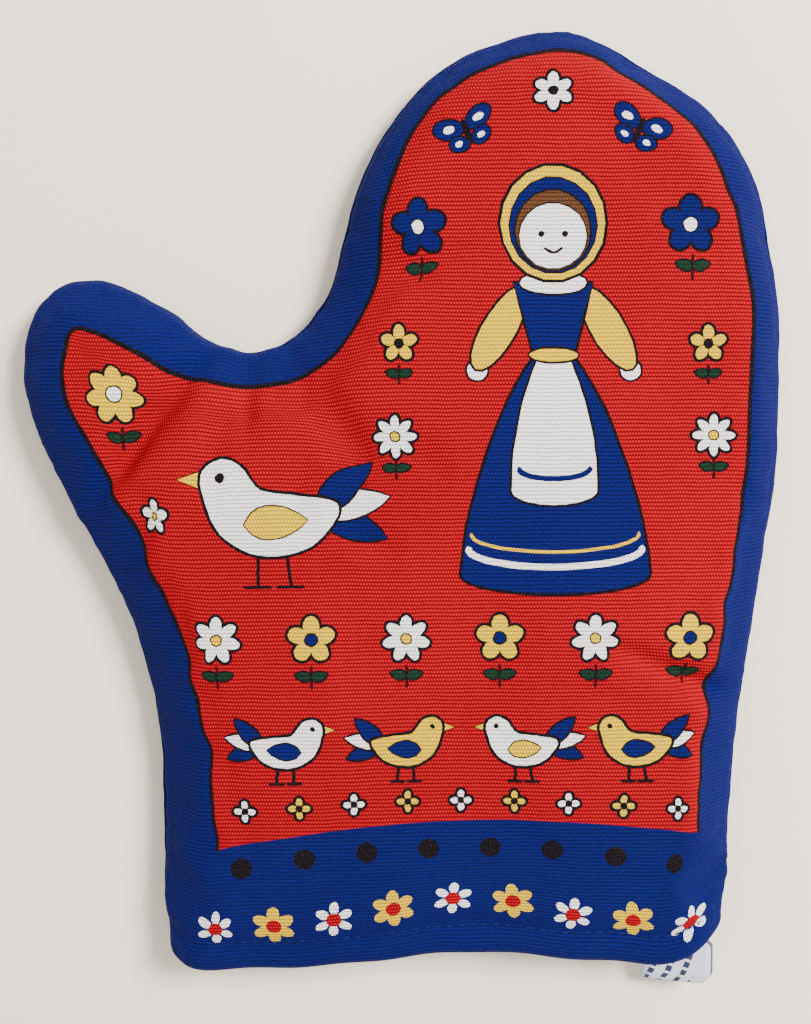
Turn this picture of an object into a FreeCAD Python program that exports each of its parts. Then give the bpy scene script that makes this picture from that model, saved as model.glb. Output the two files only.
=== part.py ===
import FreeCAD, Part
import math
import os

# A padded oven mitt lying on its back panel. Millimetres.
# +X is to the right (the thumb points to -X), +Y runs from the cuff to the fingertips,
# and +Z is up, out of the printed front. z = 0 is the face that the mitt rests on.

# Overall form
THICKNESS = 22.0        # front face to back face, lying relaxed
FRONT_ROUND = 14.0      # how softly the front rolls over to the seam
BACK_ROUND = 5.5        # the back is flatter, so it rolls up over a shorter way
SEAM_Z = 6.5            # height of the seam that joins the front to the back
CUFF_Y = -128.0         # the open edge where the hand goes in

# Layers, from the outside in
SHELL = 0.8             # canvas
BATTING = 3.4           # wadding
LINING = 0.6            # thin cotton
HEM_DEPTH = 12.0        # how far the canvas is turned up inside the cuff

# Sewing
SIDE_STITCH_IN = 2.3    # from the outline to the line that joins the panels
SIDE_STITCH_REACH = 1.0 # how far the thread stands above and below the seam
HEM_STITCH_UP = 8.5     # from the cuff's edge to its line of stitches
THREAD = 0.5            # thickness of all threads

# Care label: a folded ribbon, sewn by its ends to the side seam, inside the cuff
LABEL_ROOT_X = 84.3     # the line where it is sewn in, which is its hinge
LABEL_ROOT_Z = 11.0
LABEL_REACH = 16.5      # from the root to the centre of the rolled fold
LABEL_WIDTH = 21.0
LABEL_CLOTH = 0.3
LABEL_FOLD_R = 1.8
LABEL_SEWN = 2.0        # length at the root over which its two layers are one
LABEL_DROOP = 11.0      # degrees below level when it lies on the lining
LABEL_STITCHES = 5
LABEL_GAP = 0.4         # from its root to the ends of those stitches
LABEL_STITCH_REACH = 3.0        # enough to meet the cuff's inner wall
LABEL_STITCH_MARGIN = 1.5       # from the ends of the row to the edges of cuff and label

# The flat outline: corners with the radius that rounds each of them. The lower two are
# past the cuff, where the outline is cut off square.
CUFF_OVERRUN = 48.0
OUTLINE = [
    (48, 141, 41),
    (98, 110, 57),
    (108, 61, 67),
    (108, 15, 128),
    (96, -60, 200),
    (88, CUFF_Y - CUFF_OVERRUN, 25),
    (-69, CUFF_Y - CUFF_OVERRUN, 25),
    (-72, -49, 154),
    (-84, -13, 151),
    (-110, 38, 38),
    (-102, 73, 17),
    (-72, 65, 51),
    (-47, 41, 23),
    (-21, 62, 35),
    (-14, 95, 59),
    (4, 129, 59),
]

BATTING_OUT = SHELL
LINING_OUT = SHELL + BATTING
CAVITY_OUT = SHELL + BATTING + LINING
HEM_IN = CAVITY_OUT + SHELL
FAR = 400.0             # beyond everything
LEAST_ROUND = 0.2       # an edge rounded less than this is left square
CLOSE = 1e-3            # points nearer than this are one point


def rounded_wire(corners):
    """Close a flat outline of straight runs joined by tangent arcs."""
    arcs = []
    for i, (x, y, radius) in enumerate(corners):
        here = FreeCAD.Vector(x, y, 0)
        before = FreeCAD.Vector(*corners[i - 1][:2], 0)
        after = FreeCAD.Vector(*corners[(i + 1) % len(corners)][:2], 0)
        back = (before - here).normalize()
        on = (after - here).normalize()
        half = back.getAngle(on) / 2
        run = radius / math.tan(half)
        inward = (back + on).normalize()
        middle = here + inward * (radius / math.sin(half) - radius)
        arcs.append((here + back * run, middle, here + on * run))
    edges = []
    for i, (start, middle, end) in enumerate(arcs):
        edges.append(Part.Arc(start, middle, end).toShape())
        next_start = arcs[(i + 1) % len(arcs)][0]
        if (next_start - end).Length > CLOSE:
            edges.append(Part.makeLine(end, next_start))
    return Part.Wire(Part.__sortEdges__(edges))


def prism(inset, low, high):
    """The outline, moved in by inset, as a straight block from low to high."""
    wire = rounded_wire(OUTLINE)
    if inset:
        wire = wire.makeOffset2D(-inset)
    block = Part.Face(wire).extrude(FreeCAD.Vector(0, 0, high - low))
    block.translate(FreeCAD.Vector(0, 0, low))
    return block


def pillow(inset):
    """The mitt's outer form, moved in by inset on every side."""
    low = inset
    high = THICKNESS - inset
    block = prism(inset, low, high)
    for level, radius in ((high, FRONT_ROUND - inset), (low, BACK_ROUND - inset)):
        if radius < LEAST_ROUND:
            continue
        rim = [edge for edge in block.Edges
               if all(abs(vertex.Z - level) < CLOSE for vertex in edge.Vertexes)]
        block = block.makeFillet(radius, rim)
    return block


def slab(y_low, y_high, z_low=-FAR, z_high=FAR):
    """A block that keeps only a range of y and z."""
    corner = FreeCAD.Vector(-FAR, y_low, z_low)
    return Part.makeBox(2 * FAR, y_high - y_low, z_high - z_low, corner)


def split_at_seam(shape):
    """The front and back halves of a layer."""
    front = shape.common(slab(-FAR, FAR, SEAM_Z, FAR))
    back = shape.common(slab(-FAR, FAR, -FAR, SEAM_Z))
    return front, back


def shell_panels(outer, inner, cavity, hem_inner):
    """Canvas panels with the seam allowance inside and the hem turned in at the cuff."""
    skin = outer.cut(inner).common(slab(CUFF_Y, FAR))
    fold = inner.cut(hem_inner).common(slab(CUFF_Y, CUFF_Y + SHELL))
    turned = cavity.cut(hem_inner).common(slab(CUFF_Y + SHELL, CUFF_Y + HEM_DEPTH))
    allowance = prism(BATTING_OUT, SEAM_Z - SHELL, SEAM_Z + SHELL)
    allowance = allowance.cut(prism(LINING_OUT, SEAM_Z - SHELL, SEAM_Z + SHELL))
    allowance = allowance.common(slab(CUFF_Y + SHELL, FAR))
    whole = skin.fuse([fold, turned, allowance])
    return split_at_seam(whole), allowance


def side_seam_thread():
    """The line of thread that goes through both seam allowances."""
    low = SEAM_Z - SIDE_STITCH_REACH
    high = SEAM_Z + SIDE_STITCH_REACH
    ring = prism(SIDE_STITCH_IN, low, high).cut(prism(SIDE_STITCH_IN + THREAD, low, high))
    return ring.common(slab(CUFF_Y + SHELL, FAR))


def hem_thread(outer, hem_inner):
    """Needle thread outside the cuff and bobbin thread inside it, one loop each."""
    line = slab(CUFF_Y + HEM_STITCH_UP - THREAD / 2, CUFF_Y + HEM_STITCH_UP + THREAD / 2)
    needle = outer.cut(pillow(THREAD)).common(line)
    bobbin = pillow(HEM_IN - THREAD).cut(hem_inner).common(line)
    return Part.makeCompound(needle.Solids + bobbin.Solids)


def fold_outline(cloth, start, root):
    """Side view of the label in XZ: from half-height root at x = -start to a rolled fold."""
    radius = LABEL_FOLD_R - cloth
    lean = math.asin((radius - root) / (LABEL_REACH - start))
    touch_x = -LABEL_REACH + radius * math.sin(lean)
    touch_z = radius * math.cos(lean)
    top_root = FreeCAD.Vector(-start, 0, root)
    top_touch = FreeCAD.Vector(touch_x, 0, touch_z)
    tip = FreeCAD.Vector(-LABEL_REACH - radius, 0, 0)
    low_touch = FreeCAD.Vector(touch_x, 0, -touch_z)
    low_root = FreeCAD.Vector(-start, 0, -root)
    edges = [Part.makeLine(top_root, top_touch)]
    edges.append(Part.Arc(top_touch, tip, low_touch).toShape())
    edges.append(Part.makeLine(low_touch, low_root))
    edges.append(Part.makeLine(low_root, top_root))
    return Part.Wire(edges)


def care_label(end_y):
    """The folded ribbon, lying at its droop with its outer edge at end_y."""
    width = FreeCAD.Vector(0, LABEL_WIDTH, 0)
    gap_at_root = LABEL_CLOTH / 4
    outside = Part.Face(fold_outline(0, 0, LABEL_CLOTH)).extrude(width)
    inside = Part.Face(fold_outline(LABEL_CLOTH, LABEL_SEWN, gap_at_root)).extrude(width)
    ribbon = outside.cut(inside)
    hinge = FreeCAD.Vector(LABEL_ROOT_X, end_y, LABEL_ROOT_Z)
    ribbon.translate(hinge)
    ribbon.rotate(hinge, FreeCAD.Vector(0, 1, 0), -LABEL_DROOP)
    return ribbon


def label_thread(wall, end_y):
    """Short stitches from the cuff's inner wall to just short of the label's root."""
    wide = THREAD * 2
    first_y = CUFF_Y + LABEL_STITCH_MARGIN
    last_y = end_y + LABEL_WIDTH - LABEL_STITCH_MARGIN
    pitch = (last_y - first_y) / (LABEL_STITCHES - 1)
    stitches = []
    for i in range(LABEL_STITCHES):
        corner = FreeCAD.Vector(LABEL_ROOT_X + LABEL_GAP, first_y + i * pitch, LABEL_ROOT_Z - THREAD)
        stitch = Part.makeBox(LABEL_STITCH_REACH, wide, wide, corner)
        stitches += stitch.cut(wall).Solids[:1]
    return Part.makeCompound(stitches)


def save(name, shape):
    solids = shape.Solids
    whole = solids[0] if len(solids) == 1 else Part.makeCompound(solids)
    whole.exportStep("parts/" + name + ".step")
    box = whole.optimalBoundingBox(False)
    print("%-22s solids %2d valid %s volume %9.1f  x %.1f..%.1f y %.1f..%.1f z %.1f..%.1f" % (
        name, len(solids), whole.isValid(), whole.Volume,
        box.XMin, box.XMax, box.YMin, box.YMax, box.ZMin, box.ZMax))


os.makedirs("parts", exist_ok=True)

outer = pillow(0)
batting_form = pillow(BATTING_OUT)
lining_form = pillow(LINING_OUT)
cavity_form = pillow(CAVITY_OUT)
hem_form = pillow(HEM_IN)

(front_shell, back_shell), allowance = shell_panels(outer, batting_form, cavity_form, hem_form)
seam_thread = side_seam_thread()
cuff_thread = hem_thread(outer, hem_form)

batting = batting_form.cut(lining_form).common(slab(CUFF_Y + SHELL, FAR))
batting = batting.cut([allowance, seam_thread])
front_batting, back_batting = split_at_seam(batting)
lining = lining_form.cut(cavity_form).common(slab(CUFF_Y + SHELL, FAR))
front_lining, back_lining = split_at_seam(lining)

tip_y = outer.optimalBoundingBox(False).YMax
label_end_y = -tip_y
label = care_label(label_end_y)
label_stitching = label_thread(outer.cut(hem_form), label_end_y)

threads = [seam_thread, cuff_thread]
save("front_shell", front_shell.cut(threads))
save("back_shell", back_shell.cut(threads))
save("front_batting", front_batting)
save("back_batting", back_batting)
save("front_lining", front_lining)
save("back_lining", back_lining)
save("side_seam_stitching", seam_thread)
save("cuff_hem_stitching", cuff_thread)
save("care_label", label)
save("label_stitching", label_stitching)
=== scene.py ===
import bpy
import math
import numpy as np
from mathutils import Matrix, Vector
from mathutils.geometry import delaunay_2d_cdt
from mathutils.kdtree import KDTree


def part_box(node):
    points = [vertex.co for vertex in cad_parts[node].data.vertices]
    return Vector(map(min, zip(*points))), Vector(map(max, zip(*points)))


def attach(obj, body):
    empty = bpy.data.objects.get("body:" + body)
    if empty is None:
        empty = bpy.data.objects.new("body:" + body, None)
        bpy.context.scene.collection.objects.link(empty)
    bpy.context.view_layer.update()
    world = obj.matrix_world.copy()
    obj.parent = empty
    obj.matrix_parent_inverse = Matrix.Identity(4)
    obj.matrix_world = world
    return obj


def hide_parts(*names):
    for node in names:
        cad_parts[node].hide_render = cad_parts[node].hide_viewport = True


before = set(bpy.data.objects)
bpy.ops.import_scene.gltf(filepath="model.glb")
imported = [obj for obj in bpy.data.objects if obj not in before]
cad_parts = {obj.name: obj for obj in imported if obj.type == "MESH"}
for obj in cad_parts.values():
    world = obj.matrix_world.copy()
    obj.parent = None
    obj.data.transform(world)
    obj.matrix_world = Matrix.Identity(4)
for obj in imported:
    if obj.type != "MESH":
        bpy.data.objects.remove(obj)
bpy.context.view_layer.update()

# The looks of a padded oven mitt. Working lengths are millimetres in the CAD frame,
# and meshes are scaled to metres when they are made.
MM = 0.001


# ---------------------------------------------------------------- sizes from the frame

shell_low, shell_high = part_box("front_shell")
hem_low, hem_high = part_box("cuff_hem_stitching")
label_low, label_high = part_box("care_label")
CUFF_Y = shell_low.y / MM
SEAM_Z = shell_low.z / MM
TOP_Z = shell_high.z / MM
HEM_STITCH_Y = (hem_low.y + hem_high.y) / 2 / MM

# The mitt's outline is the CAD part's own: corners with the radius that rounds each of them.
# It is cut off at the cuff.
OUTLINE = [
    (48, 141, 41), (98, 110, 57), (108, 61, 67), (108, 15, 128), (96, -60, 200),
    (88, -176, 25), (-69, -176, 25), (-72, -49, 154), (-84, -13, 151), (-110, 38, 38),
    (-102, 73, 17), (-72, 65, 51), (-47, 41, 23), (-21, 62, 35), (-14, 95, 59), (4, 129, 59),
]

# Layers, measured inward from the outer surface
FRONT_ROUND = 14.5
BACK_ROUND = 7.0
CANVAS = 0.8
WADDING_OUT = 0.9
WADDING_IN = 4.1
LINING_OUT = 4.3
LINING_IN = 4.8
HEM_ROLL = 2.5          # radius of the fold at the cuff's edge
HEM_DEPTH = 12.0        # how far the canvas is turned up inside
HEM_END_Y = CUFF_Y + HEM_DEPTH
ROLL_Y = CUFF_Y + HEM_ROLL
ROLL_LENGTH = math.pi * HEM_ROLL
FLAP_Y = ROLL_Y - ROLL_LENGTH - (HEM_END_Y - ROLL_Y)


# ---------------------------------------------------------------- smooth steps and flat shapes

def step(low, high, x):
    """0 up to low, 1 from high on, and an even curve between."""
    t = np.clip((x - low) / (high - low), 0, 1)
    return t * t * (3 - 2 * t)


def bump(x, y, cx, cy, wide, tall=None):
    """A soft round hill of height 1."""
    tall = wide if tall is None else tall
    return np.exp(-((x - cx) / wide) ** 2 - ((y - cy) / tall) ** 2)


def rounded(corners, spacing):
    """A closed outline of straight runs and tangent arcs, as points about spacing apart."""
    corner = [np.array(c[:2], float) for c in corners]
    count = len(corner)
    edge = [np.linalg.norm(corner[(i + 1) % count] - corner[i]) for i in range(count)]
    ways = []           # at each corner, unit vectors back to the last one and on to the next
    half = []
    reach = []
    for i, here in enumerate(corner):
        back = (corner[i - 1] - here) / edge[i - 1]
        on = (corner[(i + 1) % count] - here) / edge[i]
        ways.append((back, on))
        half.append(math.acos(np.clip(back @ on, -1, 1)) / 2)
        reach.append(corners[i][2] / math.tan(half[i]))
    # neighbouring arcs that overlap are made smaller
    for i in range(count):
        over = (reach[i] + reach[(i + 1) % count]) / edge[i]
        if over > 1:
            reach[i] /= over
            reach[(i + 1) % count] /= over
    runs = []
    for i, (here, (back, on)) in enumerate(zip(corner, ways)):
        radius = reach[i] * math.tan(half[i])
        centre = here + (back + on) / np.linalg.norm(back + on) * radius / math.sin(half[i])
        runs.append((here + back * reach[i], centre, here + on * reach[i], radius))
    points = []
    for i, (start, centre, end, radius) in enumerate(runs):
        first = math.atan2(*(start - centre)[::-1])
        sweep = (math.atan2(*(end - centre)[::-1]) - first + math.pi) % (2 * math.pi) - math.pi
        pieces = max(2, round(abs(sweep) * radius / spacing))
        for k in range(pieces + 1):
            angle = first + sweep * k / pieces
            points.append(centre + radius * np.array([math.cos(angle), math.sin(angle)]))
        gap = runs[(i + 1) % count][0] - end
        pieces = max(1, round(np.linalg.norm(gap) / spacing))
        points += [end + gap * k / pieces for k in range(1, pieces)]
    least = 0.3 * spacing
    keep = [points[0]]
    for point in points[1:]:
        if np.linalg.norm(point - keep[-1]) > least:
            keep.append(point)
    if np.linalg.norm(keep[-1] - keep[0]) < least:
        keep.pop()
    return np.array(keep)


def kept_run(line, kept):
    """The one run of a closed line's points that is kept, from its first point on."""
    first = int(np.argmax(kept & ~np.roll(kept, 1)))
    return np.roll(line, -first, 0)[:int(kept.sum())]


def smooth_line(points, closed=False, pieces=8):
    """A Catmull-Rom curve through a few points."""
    p = np.array(points, float)
    if closed:
        p = np.vstack([p[-1], p, p[:2]])
    else:
        p = np.vstack([2 * p[0] - p[1], p, 2 * p[-1] - p[-2]])
    t = np.arange(pieces)[:, None] / pieces
    parts = []
    for a, b, c, d in zip(p, p[1:], p[2:], p[3:]):
        parts.append(0.5 * (2 * b + (c - a) * t + (2 * a - 5 * b + 4 * c - d) * t ** 2
                            + (3 * b - a - 3 * c + d) * t ** 3))
    if not closed:
        parts.append(p[-2:-1])
    return np.vstack(parts)


def turned(points, angle=0.0, at=(0, 0), scale=1.0, flip=False):
    """Points scaled, mirrored left to right, turned by degrees and moved."""
    p = np.array(points, float) * scale
    if flip:
        p = p * (-1, 1)
    c = math.cos(math.radians(angle))
    s = math.sin(math.radians(angle))
    return p @ np.array([[c, s], [-s, c]]) + np.array(at)


def oval(x, y, wide, tall=None, angle=0.0, pieces=18):
    """A closed oval of half-width wide and half-height tall."""
    tall = wide if tall is None else tall
    a = np.arange(pieces) * 2 * math.pi / pieces
    return turned(np.column_stack([wide * np.cos(a), tall * np.sin(a)]), angle, (x, y))


def leaf(length, wide, pieces=9):
    """A pointed drop from the origin along +X."""
    t = np.linspace(0, 1, pieces)
    half = wide * np.sin(math.pi * t ** 0.8) ** 0.8
    upper = np.column_stack([t * length, half])
    lower = np.column_stack([t * length, -half])[-2:0:-1]
    return np.vstack([upper, lower])


def grown(points, by):
    """A closed shape with its edge moved outward."""
    p = np.array(points, float)
    along = np.roll(p, -1, 0) - np.roll(p, 1, 0)
    along /= np.linalg.norm(along, axis=1)[:, None] + 1e-9
    area = (p[:, 0] * np.roll(p[:, 1], -1) - np.roll(p[:, 0], -1) * p[:, 1]).sum()
    side = math.copysign(by, area)
    return p + np.column_stack([along[:, 1], -along[:, 0]]) * side


def line_shape(points, wide):
    """A drawn line as a closed shape."""
    p = np.array(points, float)
    along = np.gradient(p, axis=0)
    along /= np.linalg.norm(along, axis=1)[:, None] + 1e-9
    side = np.column_stack([-along[:, 1], along[:, 0]])
    half = wide / 2
    return np.vstack([p[:1] - along[:1] * half, p + side * half,
                      p[-1:] + along[-1:] * half, (p - side * half)[::-1]])


# ---------------------------------------------------------------- the print
# Generic folk motifs: later shapes lie over earlier ones, as inks do.

INKS = ["blue", "red", "dark", "white", "yellow", "green", "maroon", "brown"]
INK_LINE = 0.85         # width of the dark line round a motif
FIELD_LINE = 1.15       # width of the line round the red field
SCREEN_WANDER = 0.06    # unevenness of a hand-cut screen


class Print:
    """Closed shapes in flat colours, in the order in which they are printed."""

    def __init__(self):
        self.shapes = []

    def fill(self, points, ink):
        """One flat colour, with the slight wander of a hand-cut screen."""
        p = np.array(points, float)
        x = p[:, 0]
        y = p[:, 1]
        wander = np.column_stack([np.sin(1.7 * y + 0.6 * x) + np.sin(4.1 * y),
                                  np.sin(1.9 * x + 0.5 * y)])
        self.plain(p + SCREEN_WANDER * wander, ink)

    def plain(self, points, ink):
        self.shapes.append((points, INKS.index(ink)))

    def lined(self, points, ink, line=INK_LINE):
        """A colour with a dark line round it."""
        self.fill(grown(points, line), "dark")
        self.fill(points, ink)

    def line(self, points, ink, wide, pieces=6):
        """A smooth line through a few points."""
        self.fill(line_shape(smooth_line(points, pieces=pieces), wide), ink)


def petals(art, x, y, radius, count, ink, heart="yellow", wide=0.3, hub=0.2):
    """A flower of separate round petals, each lined. wide and hub are shares of its radius."""
    for ring, colour in ((INK_LINE, "dark"), (0, ink)):
        for i in range(count):
            angle = 90.0 + 360 * i / count
            middle = turned([(radius * 0.6, 0)], angle, (x, y))[0]
            art.fill(oval(*middle, radius * 0.4 + ring, radius * wide + ring, angle), colour)
    art.lined(oval(x, y, radius * hub), heart, 0.4)


def leaf_pair(art, x, y, size):
    """Two small leaves on a short stem under a flower."""
    art.line([(x, y + size), (x, y - size)], "maroon", 0.8)
    for angle in (168, 12):
        art.lined(turned(leaf(size * 1.5, size * 0.42), angle, (x, y)), "green", 0.5)


def bird(art, x, y, size, flip, body, wing, tail):
    """A plain round bird with a fan of three leaf-shaped tail feathers, facing right."""
    def put(points):
        return turned(points, 0, (x, y), size, flip)

    for top, foot in ((-1.5, -2.5), (3.5, 3.5)):
        art.line(put([(top, -5), (foot, -12)]), "dark", 0.9)
        art.line(put([(foot - 2.2, -12.2), (foot + 2.6, -12.2)]), "dark", 0.9)
    for i in range(3):
        heading = 178 - 66 * (i / 2 - 0.35)
        art.lined(put(turned(leaf(13.5, 2.6), heading, (-7.5, 1.5))), tail[i % 2], 0.6)
    art.lined(put([(13.0, 9.4), (18.2, 7.4), (13.0, 5.6)]), "yellow", 0.5)
    outline = [(-11, 3), (-4, 4.4), (3, 5.4), (6.4, 9.6), (10.2, 11.2), (13.6, 9.0),
               (13.4, 4.6), (10.4, -2.4), (3.4, -6.4), (-5, -5.4), (-10, -1)]
    art.lined(put(smooth_line(outline, True, 5)), body)
    art.lined(put(turned(leaf(11.5, 3.0), 176, (6.0, -0.8))), wing, 0.4)
    art.fill(put(oval(10.4, 7.8, 0.95, pieces=12)), "dark")


def butterfly(art, x, y, angle):
    """Two pairs of oval wings on a short body."""
    for side in (-1, 1):
        for cx, cy, wide, tall in ((4.3, 2.4, 4.0, 2.7), (3.2, -2.6, 2.7, 2.0)):
            wing = oval(side * cx, cy, wide, tall, side * 24)
            art.lined(turned(wing, angle, (x, y)), "blue", 0.5)
            art.fill(turned(oval(side * cx, cy, wide * 0.4, tall * 0.4), angle, (x, y)), "white")
    art.fill(turned(oval(0, 0, 0.9, 4.0), angle, (x, y)), "dark")


def peg_doll(art, x, y):
    """A plain peg doll in a kerchief and a bell-shaped dress, the same on both sides.
    (x, y) is the middle of its waist."""
    def put(points):
        return np.array(points, float) + (x, y)

    def bow(wide, top, drop):
        """A line that hangs from side to side, as a hem does."""
        turn = np.linspace(0, math.pi, 25)
        return np.column_stack([wide * np.cos(turn), top - drop * np.sin(turn)])

    def bell(points, wide, top, drop):
        """A shape whose side runs down through points to a hanging hem."""
        side = smooth_line(points, pieces=5)
        return put(np.vstack([side[:-1], bow(wide, top, drop), (side * (-1, 1))[::-1][1:]]))

    dress = [(5.0, 0), (12.0, -12), (18.5, -28), (23.5, -46), (25.5, -60)]
    art.lined(bell(dress, 25.5, -60, 5.5), "blue")
    art.line(put(bow(23.6, -53, 5.2)), "white", 1.8, 1)
    art.line(put(bow(22.8, -49, 5.0)), "yellow", 0.9, 1)
    art.lined(bell([(4.0, 0), (8.2, -12), (11.0, -26), (11.6, -37)], 11.6, -37, 4.0), "white", 0.7)
    art.line(put(bow(9.6, -31, 2.8)), "blue", 1.5, 1)
    for side in (-1, 1):
        art.lined(put(oval(side * 20.6, -4.2, 2.7, 2.7)), "white", 0.6)
        art.lined(put(oval(side * 14.6, 7.2, 12.8, 4.4, side * -60)), "yellow", 0.7)
    art.lined(put([(-10.5, 19.4), (10.5, 19.4), (7.6, 9), (5.4, 0), (-5.4, 0), (-7.6, 9)]), "blue")
    # belt, collar, kerchief with its inner edge, hair and face
    for up, wide, tall, ink, line in (
            (0, 6.6, 1.8, "yellow", 0.6), (19.6, 9.0, 3.0, "white", 0.6),
            (35.6, 14.0, 15.4, "yellow", INK_LINE), (35.0, 11.6, 12.8, "blue", 0.4),
            (33.6, 10.0, 10.8, "brown", 0.5), (32.2, 9.0, 8.8, "white", 0.4)):
        art.lined(put(oval(0, up, wide, tall)), ink, line)
    for side in (-1, 1):
        art.fill(put(oval(side * 3.2, 32.8, 0.85)), "dark")
    art.line(put([(-2.4, 28.9), (0, 27.7), (2.4, 28.9)]), "dark", 0.7)


def cuff_band(art):
    """A row of dark spots above a row of small white and yellow flowers."""
    for i in range(8):
        x = -46.4 + 17.4 * i
        art.fill(oval(x, -90.8 - 5.4 * ((x - 15) / 62) ** 2, 3.0), "dark")
    for i in range(9):
        x = -55 + 16.9 * i
        y = -113.9 + 5.5 * math.exp(-((x - 14) / 30) ** 2) - 3.4 * step(70, 82, x)
        long, wide, ink = ((2.0, 1.35, "white"), (2.5, 1.75, "yellow"))[i % 2]
        for k in range(6):
            angle = 90 + 60 * k + 8 * math.sin(3 * i)
            art.fill(oval(*turned([(3.7, 0)], angle, (x, y))[0], long, wide, angle), ink)
        art.fill(oval(x, y, 2.2), "red")


def field_foot(x):
    """The lower edge of the printed red field, a shallow arch."""
    return -82.7 - 7.7 * ((x - 25) / 78) ** 2


def field_side():
    """The red field's edge from its lower left corner round to its lower right. It is the
    seam line moved in by the blue border, which is narrower at the fingertips and the crotch
    and wider beside the cuff on the left."""
    x, y = SEAM_LINE.T
    border = (12.5 - 4.0 * step(95, 130, y) - 4.0 * bump(x, y, -47, 46, 18)
              - 2.5 * bump(x, y, -12, 90, 24, 40) + 2.0 * bump(x, y, 106, 20, 20, 35)
              + 4.5 * step(-20, -85, y) * (x < 0))
    inward = SEAM_LINE - grown(SEAM_LINE, 1.0)
    edge = SEAM_LINE + inward * border[:, None]
    edge = kept_run(edge, edge[:, 1] > field_foot(edge[:, 0]) + 0.8)
    ends = [[(x, field_foot(x))] for x in (edge[0, 0], edge[-1, 0])]
    return np.vstack([ends[0], edge, ends[1]])


def paint():
    """The whole print on the front panel, from the ground colours up."""
    art = Print()
    side_line = field_side()
    foot = np.linspace(side_line[-1, 0], side_line[0, 0], 50)[1:-1]
    field = np.vstack([side_line, np.column_stack([foot, field_foot(foot)])])
    art.plain(field, "red")
    art.plain(line_shape(side_line, FIELD_LINE), "dark")
    middle = 41.0       # the doll's; flowers stand in pairs on either side
    peg_doll(art, middle, 47.0)
    petals(art, middle, 118, 5.4, 6, "white", heart="dark", wide=0.28)
    for side in (-1, 1):
        butterfly(art, middle + side * 23, 107.5, side * -24)
        petals(art, middle + side * 36.5, 82, 7.6, 5, "blue", heart="white", wide=0.34, hub=0.24)
        leaf_pair(art, middle + side * 37.0, 70.6, 3.2)
        petals(art, middle + side * 41.5, 50, 5.0, 5, "yellow", heart="dark")
        leaf_pair(art, middle + side * 41.5, 41.6, 2.4)
        petals(art, middle + side * 43.0, 25, 5.8, 8, "white", wide=0.2)
        leaf_pair(art, middle + side * 43.0, 16.0, 2.6)
    petals(art, -80.5, 38.0, 7.8, 7, "yellow", heart="white", wide=0.27, hub=0.24)
    leaf_pair(art, -79.0, 26.0, 3.2)
    petals(art, -69.5, 2.5, 4.6, 5, "white")
    bird(art, -35.0, 2.0, 1.5, True, "white", "yellow", ("blue", "white"))
    for i, x in enumerate((-52, -26, 0, 26, 52, 78)):
        if i % 2:
            petals(art, x, -31, 6.6, 5, "yellow", heart="blue", wide=0.34, hub=0.24)
        else:
            petals(art, x, -31, 6.6, 7, "white", wide=0.24)
        leaf_pair(art, x, -41.6, 3.0)
    for x, flip, body, wing in ((-34, False, "white", "blue"), (-1, False, "yellow", "blue"),
                                (33, True, "white", "yellow"), (64, True, "yellow", "blue")):
        bird(art, x, -62.0, 0.78, flip, body, wing, ("blue", "white"))
    for i in range(9):
        petals(art, -45 + 15.0 * i, -79.5 + 2.4 * math.sin(math.pi * i / 8), 3.0, 4,
               ("white", "yellow")[i % 2], heart="dark")
    cuff_band(art)
    return art


# ---------------------------------------------------------------- the padded form

AT_ONCE = 2000          # points measured in one go, to save memory
SEAM_BLEND = 0.4        # this near the seam, its own direction takes over


class Seam:
    """A closed line. It measures how far points lie inside it."""

    def __init__(self, line):
        self.start = line
        self.end = np.roll(line, -1, 0)
        self.run = self.end - self.start
        self.length = np.linalg.norm(self.run, axis=1)
        self.before = np.concatenate([[0], np.cumsum(self.length)[:-1]])

    def measure(self, points):
        """Distance inside the seam, outward direction, and place along the seam."""
        inside = np.empty(len(points))
        outward = np.empty((len(points), 2))
        along = np.empty(len(points))
        squared = self.length ** 2
        for first in range(0, len(points), AT_ONCE):
            part = slice(first, first + AT_ONCE)
            p = points[part]
            gap = p[:, None, :] - self.start[None]
            t = np.clip((gap * self.run[None]).sum(2) / squared, 0, 1)
            away = gap - self.run[None] * t[:, :, None]
            nearest = (away ** 2).sum(2).argmin(1)
            row = np.arange(len(p))
            offset = away[row, nearest]
            size = np.linalg.norm(offset, axis=1)
            run = self.run[nearest] / self.length[nearest][:, None]
            normal = np.column_stack([-run[:, 1], run[:, 0]])
            side = np.where((offset * normal).sum(1) > 0, -1.0, 1.0)
            away_unit = -offset * side[:, None] / np.maximum(size, 1e-9)[:, None]
            mix = np.clip(size / SEAM_BLEND, 0, 1)[:, None]
            direction = normal * (1 - mix) + away_unit * mix
            inside[part] = size * side
            outward[part] = direction / np.linalg.norm(direction, axis=1)[:, None]
            along[part] = self.before[nearest] + t[row, nearest] * self.length[nearest]
        return inside, outward, along


def ripple(s, seed):
    """Uneven waves from -1 to 1 along a line, a few millimetres long."""
    return (np.sin(s * 0.83 + seed) + 0.8 * np.sin(s * 1.37 + 2.1 * seed)
            + 0.6 * np.sin(s * 0.47 + 0.7 * seed) + 0.35 * np.sin(s * 2.3 + 1.3 * seed)) / 2.75


def crease(x, y, start, end, wide):
    """A soft fold of height 1 along a line, fading out at its ends."""
    a = np.array(start, float)
    run = np.array(end, float) - a
    length = np.linalg.norm(run)
    run = run / length
    along = ((x - a[0]) * run[0] + (y - a[1]) * run[1]) / length
    across = (x - a[0]) * -run[1] + (y - a[1]) * run[0]
    ends = step(-CREASE_FADE, CREASE_FADE, along), step(-CREASE_FADE, CREASE_FADE, 1 - along)
    return np.exp(-(across / wide) ** 2) * ends[0] * ends[1]


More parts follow.
